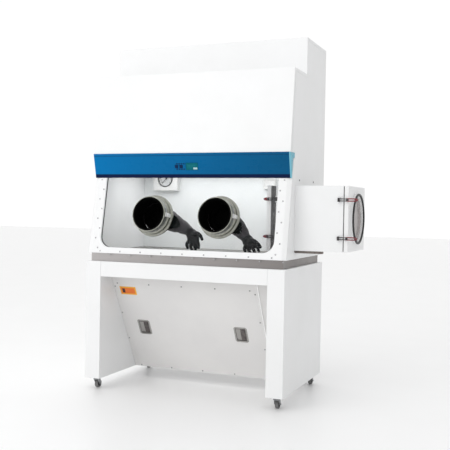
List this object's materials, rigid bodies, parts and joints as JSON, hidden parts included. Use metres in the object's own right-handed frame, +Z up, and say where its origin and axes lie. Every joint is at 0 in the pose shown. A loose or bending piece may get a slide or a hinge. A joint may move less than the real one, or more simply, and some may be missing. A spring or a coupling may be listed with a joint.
{
  "type": "laboratory glove box",
  "caption": "Free-standing sealed cabinet on a castored stand, with a sloping window, two glove ports and a pass box through its right side wall.",
  "frame": {"origin": "on the floor, below the middle of the overall box (pass box, port rims and latches included)", "axes": "+Z up, +X to the operator's right towards the pass box, +Y into the cabinet away from the operator"},
  "size_m": [1.673, 0.8438, 2.231],
  "materials": {
    "white_powder_coat": "satin powder coat",
    "chamber_liner": "satin powder coat",
    "stainless": "brushed",
    "zinc_steel": "zinc plated",
    "paddle_steel": "satin",
    "caster_tread": "matt",
    "label": "plain printed plate",
    "black_rubber": "matt",
    "window_glass": "clear laminated",
    "port_aluminium": "grey anodised",
    "glove_rubber": "dull",
    "white_plastic": "smooth",
    "needle_red": "matt",
    "blue_panel": "smooth",
    "display_teal": "screen",
    "key_navy": "smooth",
    "impeller_grey": "matt",
    "filter_white": "paper",
    "latch_red": "dipped grip",
    "black_plastic": "moulded"
  },
  "bodies": {
    "cabinet": {"stand_side_panels": "white_powder_coat", "stand_beams": "white_powder_coat", "knee_panel": "white_powder_coat", "knee_filler_panel": "white_powder_coat", "panel_screws": "zinc_steel", "panel_latch_cups": "stainless", "label_plate": "label", "caster_plates": "zinc_steel", "base_plate": "stainless", "cabinet_left_wall": "white_powder_coat", "cabinet_right_wall": "white_powder_coat", "cabinet_rear_wall": "white_powder_coat", "rear_baffle": "chamber_liner", "work_floor": "stainless", "diffuser_plate": "chamber_liner", "window_frame": "white_powder_coat", "window_gasket": "black_rubber", "window_pane": "window_glass", "glove_port_rings": "port_aluminium", "glove_clamp_bands": "port_aluminium", "left_glove": "glove_rubber", "right_glove": "glove_rubber", "gauge_housing": "white_plastic", "gauge_dial": "white_plastic", "gauge_lens": "window_glass", "hood_cover": "white_powder_coat", "upper_housing": "white_powder_coat", "control_band": "blue_panel", "control_display": "display_teal", "blower_housing": "zinc_steel", "hepa_filters": "filter_white", "exhaust_collar": "stainless", "lamp_tube": "white_plastic", "pass_box_shell": "white_powder_coat", "door_gaskets": "black_rubber", "door_hinge_pins": "zinc_steel", "service_socket": "white_plastic", "power_inlet": "black_plastic"},
    "left_latch_paddle": {"left_latch_paddle": "paddle_steel"},
    "right_latch_paddle": {"right_latch_paddle": "paddle_steel"},
    "front_left_fork": {"front_left_caster_fork": "zinc_steel"},
    "front_right_fork": {"front_right_caster_fork": "zinc_steel"},
    "rear_left_fork": {"rear_left_caster_fork": "zinc_steel"},
    "rear_right_fork": {"rear_right_caster_fork": "zinc_steel"},
    "front_left_wheel": {"front_left_wheel": "caster_tread"},
    "front_right_wheel": {"front_right_wheel": "caster_tread"},
    "rear_left_wheel": {"rear_left_wheel": "caster_tread"},
    "rear_right_wheel": {"rear_right_wheel": "caster_tread"},
    "gauge_needle": {"gauge_needle": "needle_red"},
    "fan_key": {"fan_key": "key_navy"},
    "lamp_key": {"lamp_key": "key_navy"},
    "blower_impeller": {"blower_impeller": "impeller_grey"},
    "outer_door": {"outer_door": "white_powder_coat", "outer_door_ring": "black_rubber", "outer_door_glass": "window_glass"},
    "inner_door": {"inner_door": "white_powder_coat"},
    "outer_lower_latch": {"outer_lower_latch": "latch_red"},
    "outer_upper_latch": {"outer_upper_latch": "latch_red"},
    "inner_lower_latch": {"inner_lower_latch": "latch_red"},
    "inner_upper_latch": {"inner_upper_latch": "latch_red"}
  },
  "joints": [
    {"name": "front_left_swivel", "type": "hinge", "parent": "cabinet", "child": "front_left_fork", "pos_m": [-0.785, -0.33819, 0.057], "axis": [0, 0, 1], "continuous": true},
    {"name": "front_left_roll", "type": "hinge", "parent": "front_left_fork", "child": "front_left_wheel", "pos_m": [-0.785, -0.32219, 0.026], "axis": [1, 0, 0], "continuous": true},
    {"name": "rear_left_swivel", "type": "hinge", "parent": "cabinet", "child": "rear_left_fork", "pos_m": [-0.785, 0.34981, 0.057], "axis": [0, 0, 1], "continuous": true},
    {"name": "rear_left_roll", "type": "hinge", "parent": "rear_left_fork", "child": "rear_left_wheel", "pos_m": [-0.785, 0.36581, 0.026], "axis": [1, 0, 0], "continuous": true},
    {"name": "front_right_swivel", "type": "hinge", "parent": "cabinet", "child": "front_right_fork", "pos_m": [0.412, -0.33819, 0.057], "axis": [0, 0, 1], "continuous": true},
    {"name": "front_right_roll", "type": "hinge", "parent": "front_right_fork", "child": "front_right_wheel", "pos_m": [0.412, -0.32219, 0.026], "axis": [1, 0, 0], "continuous": true},
    {"name": "rear_right_swivel", "type": "hinge", "parent": "cabinet", "child": "rear_right_fork", "pos_m": [0.412, 0.34981, 0.057], "axis": [0, 0, 1], "continuous": true},
    {"name": "rear_right_roll", "type": "hinge", "parent": "rear_right_fork", "child": "rear_right_wheel", "pos_m": [0.412, 0.36581, 0.026], "axis": [1, 0, 0], "continuous": true},
    {"name": "outer_door_hinge", "type": "hinge", "parent": "cabinet", "child": "outer_door", "pos_m": [0.768, 0.21581, 1.098], "axis": [0, 0, 1], "range_deg": [0, 110]},
    {"name": "inner_door_hinge", "type": "hinge", "parent": "cabinet", "child": "inner_door", "pos_m": [0.304, 0.21581, 1.098], "axis": [0, 0, -1], "range_deg": [0, 90]},
    {"name": "outer_lower_latch_pivot", "type": "hinge", "parent": "cabinet", "child": "outer_lower_latch", "pos_m": [0.7245, -0.23919, 0.987], "axis": [0, 0, -1], "range_deg": [0, 100]},
    {"name": "inner_lower_latch_pivot", "type": "hinge", "parent": "cabinet", "child": "inner_lower_latch", "pos_m": [0.3555, -0.23919, 0.987], "axis": [0, 0, 1], "range_deg": [0, 35]},
    {"name": "outer_upper_latch_pivot", "type": "hinge", "parent": "cabinet", "child": "outer_upper_latch", "pos_m": [0.7245, -0.23919, 1.207], "axis": [0, 0, -1], "range_deg": [0, 100]},
    {"name": "inner_upper_latch_pivot", "type": "hinge", "parent": "cabinet", "child": "inner_upper_latch", "pos_m": [0.3555, -0.23919, 1.207], "axis": [0, 0, 1], "range_deg": [0, 35]},
    {"name": "left_paddle_pivot", "type": "hinge", "parent": "cabinet", "child": "left_latch_paddle", "pos_m": [-0.5835, -0.1002, 0.40253], "axis": [-1, 0, 0], "range_deg": [0, 40], "stiffness_Nm_per_rad": 0.15, "springref_deg": -28.65},
    {"name": "right_paddle_pivot", "type": "hinge", "parent": "cabinet", "child": "right_latch_paddle", "pos_m": [0.0895, -0.1002, 0.40253], "axis": [-1, 0, 0], "range_deg": [0, 40], "stiffness_Nm_per_rad": 0.15, "springref_deg": -28.65},
    {"name": "gauge_needle_pivot", "type": "hinge", "parent": "cabinet", "child": "gauge_needle", "pos_m": [-0.6045, 0.23281, 1.344], "axis": [0, 1, 0], "range_deg": [0, 270]},
    {"name": "blower_spin", "type": "hinge", "parent": "cabinet", "child": "blower_impeller", "pos_m": [-0.1865, 0.16181, 1.76], "axis": [1, 0, 0], "continuous": true},
    {"name": "fan_key_press", "type": "slide", "parent": "cabinet", "child": "fan_key", "axis": [0, 0.9746, 0.2239], "range_m": [0, 0.0015], "stiffness_N_per_m": 400, "springref_m": -0.001},
    {"name": "lamp_key_press", "type": "slide", "parent": "cabinet", "child": "lamp_key", "axis": [0, 0.9746, 0.2239], "range_m": [0, 0.0015], "stiffness_N_per_m": 400, "springref_m": -0.001}
  ]
}
